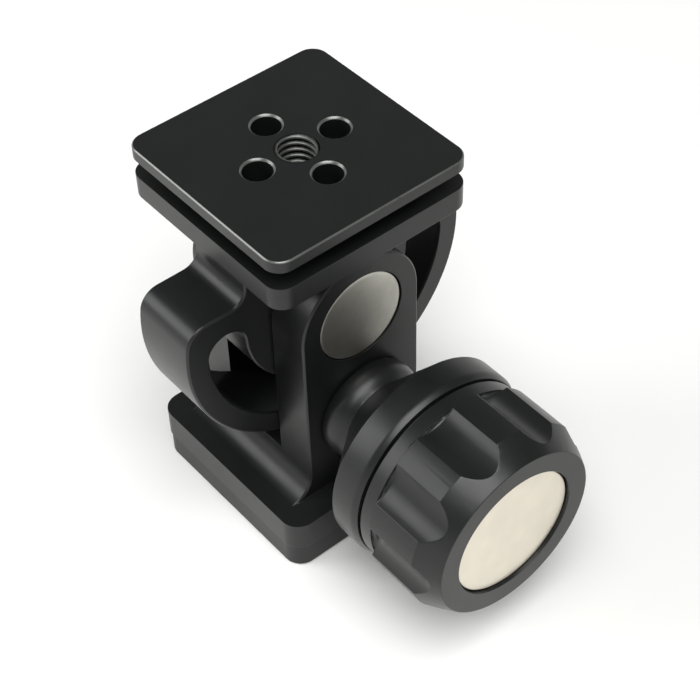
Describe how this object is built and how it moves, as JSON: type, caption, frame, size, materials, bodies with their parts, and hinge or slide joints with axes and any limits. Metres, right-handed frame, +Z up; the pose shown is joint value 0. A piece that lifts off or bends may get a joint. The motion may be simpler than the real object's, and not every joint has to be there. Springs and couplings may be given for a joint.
{
  "type": "single-axis tilt bracket",
  "caption": "Black anodised single-axis tilt bracket: a clevis base, a tilting arm with a curved clamping slot, a square threaded top plate and a large fluted clamping knob.",
  "frame": {"origin": "centre of the foot plate's bottom face, at the mouth of its central thread", "axes": "+Z up, from the foot plate to the top plate; the tilt axis and the clamp axis lie along Y, with the knob at -Y"},
  "size_m": [0.074, 0.0928, 0.0934],
  "materials": {
    "black_anodised": "satin black anodised",
    "foot_black": "satin black anodised",
    "bright_steel": "fine ground",
    "champagne": "spun and anodised",
    "plain_steel": "turned",
    "black_steel": "black oxide",
    "brass": "turned",
    "nylon": "moulded",
    "bronze": "sintered"
  },
  "bodies": {
    "base": {"base_body": "black_anodised", "foot_plate": "foot_black", "foot_plate_screws": "black_steel", "pivot_bolt": "bright_steel", "pivot_end_disc": "bright_steel", "friction_washer_front": "nylon", "friction_washer_rear": "nylon", "clamp_bolt": "plain_steel", "slot_sleeve": "plain_steel", "stop_washer": "plain_steel", "stop_screw": "black_steel"},
    "tilt_head": {"tilt_arm": "black_anodised", "top_plate": "black_anodised", "top_plate_screws": "black_steel", "pivot_bush_front": "bronze", "pivot_bush_rear": "bronze"},
    "clamp_washer": {"thrust_washer": "plain_steel"},
    "knob": {"knob_collar": "black_anodised", "knob_body": "black_anodised", "knob_insert": "brass", "knob_screws": "black_steel", "knob_cap": "champagne"}
  },
  "joints": [
    {"name": "tilt", "type": "hinge", "parent": "base", "child": "tilt_head", "pos_m": [0, 0, 0.06], "axis": [0, 1, 0], "range_deg": [-88, 88]},
    {"name": "clamp_travel", "type": "slide", "parent": "base", "child": "clamp_washer", "axis": [0, -1, 0], "range_m": [0, 0.0025]},
    {"name": "knob_turn", "type": "hinge", "parent": "clamp_washer", "child": "knob", "pos_m": [0, -0.0448, 0.0332], "axis": [0, -1, 0], "range_deg": [0, 720]}
  ],
  "couplings": [
    {"joint": "clamp_travel", "follows": "knob_turn", "m_per_rad": 0.00019894}
  ]
}
